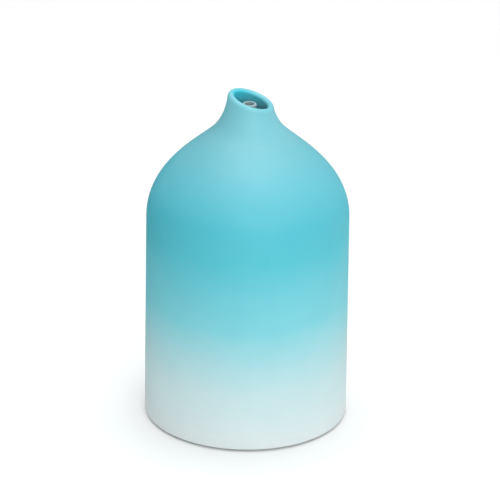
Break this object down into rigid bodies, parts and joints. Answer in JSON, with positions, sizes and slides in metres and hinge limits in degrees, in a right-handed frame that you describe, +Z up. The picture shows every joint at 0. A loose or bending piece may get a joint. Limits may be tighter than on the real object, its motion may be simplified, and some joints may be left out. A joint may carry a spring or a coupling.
{
  "type": "aroma diffuser",
  "caption": "Table-top ultrasonic mist diffuser: bottle-shaped ceramic cover with a slanted mouth over a water tank, splash cover and electronic base.",
  "frame": {"origin": "centre of the rest plane under the four feet", "axes": "+Z up along the cover's axis, the rear with the inlet and buttons faces +Y, the mouth slopes down towards +X"},
  "size_m": [0.1, 0.1, 0.1687],
  "materials": {
    "ceramic_cover": "matt, turquoise at the top fading to very pale mint at the foot",
    "white_housing": "moulded, fine texture",
    "clear_plastic": "translucent polypropylene",
    "silicone": "translucent silicone",
    "rubber_feet": "matt",
    "grey_plastic": "fine texture",
    "black_plastic": "moulded",
    "steel": "zinc plated or stainless",
    "brass": "plain",
    "aluminium": "plain",
    "copper_winding": "enamelled copper wire",
    "circuit_board": "solder mask",
    "lamp_lens": "clear resin over phosphor",
    "wire": "insulation"
  },
  "bodies": {
    "base": {"bottom_cover": "white_housing", "base_shell": "white_housing", "air_funnel": "white_housing", "transducer_clamp": "white_housing", "tank_basin": "clear_plastic", "tank_seal": "silicone", "transducer_seal": "silicone", "level_probe_seal": "silicone", "foot_pad_1": "rubber_feet", "foot_pad_2": "rubber_feet", "foot_pad_3": "rubber_feet", "foot_pad_4": "rubber_feet", "rear_panel": "grey_plastic", "fan_frame": "black_plastic", "dc_inlet": "black_plastic", "controller_chip": "black_plastic", "power_transistor": "black_plastic", "mist_switch": "black_plastic", "light_switch": "black_plastic", "level_probe": "steel", "case_screw_1": "steel", "case_screw_2": "steel", "case_screw_3": "steel", "case_screw_4": "steel", "clamp_screw_1": "steel", "clamp_screw_2": "steel", "clamp_screw_3": "steel", "fan_screw_1": "steel", "fan_screw_2": "steel", "board_screw_1": "steel", "board_screw_2": "steel", "transducer_disc": "brass", "fan_bearing": "brass", "heat_sink": "aluminium", "capacitor_1": "aluminium", "capacitor_2": "aluminium", "drum_inductor": "copper_winding", "fan_stator": "copper_winding", "main_board": "circuit_board", "switch_board": "circuit_board", "led_board": "circuit_board", "led_1": "lamp_lens", "led_2": "lamp_lens", "led_3": "lamp_lens", "fan_lead": "wire", "transducer_lead": "wire", "led_lead": "wire"},
    "fan_rotor": {"fan_impeller": "black_plastic", "fan_magnet": "steel", "fan_shaft": "steel"},
    "mist_button_body": {"mist_button": "white_housing"},
    "light_button_body": {"light_button": "white_housing"},
    "lid": {"splash_cover": "clear_plastic", "mist_chimney": "clear_plastic", "mist_nozzle": "silicone"},
    "cover": {"ceramic_cover": "ceramic_cover"}
  },
  "joints": [
    {"name": "lid_lift", "type": "slide", "parent": "base", "child": "lid", "axis": [0, 0, 1], "range_m": [0, 0.06]},
    {"name": "cover_lift", "type": "slide", "parent": "lid", "child": "cover", "axis": [0, 0, 1], "range_m": [0, 0.18]},
    {"name": "fan_spin", "type": "hinge", "parent": "base", "child": "fan_rotor", "pos_m": [0, -0.013, 0.0085], "axis": [0, 0, 1], "continuous": true},
    {"name": "mist_press", "type": "slide", "parent": "base", "child": "mist_button_body", "axis": [0, -1, 0], "range_m": [0, 0.0007], "stiffness_N_per_m": 800, "springref_m": -0.0006},
    {"name": "light_press", "type": "slide", "parent": "base", "child": "light_button_body", "axis": [0, -1, 0], "range_m": [0, 0.0007], "stiffness_N_per_m": 800, "springref_m": -0.0006}
  ]
}
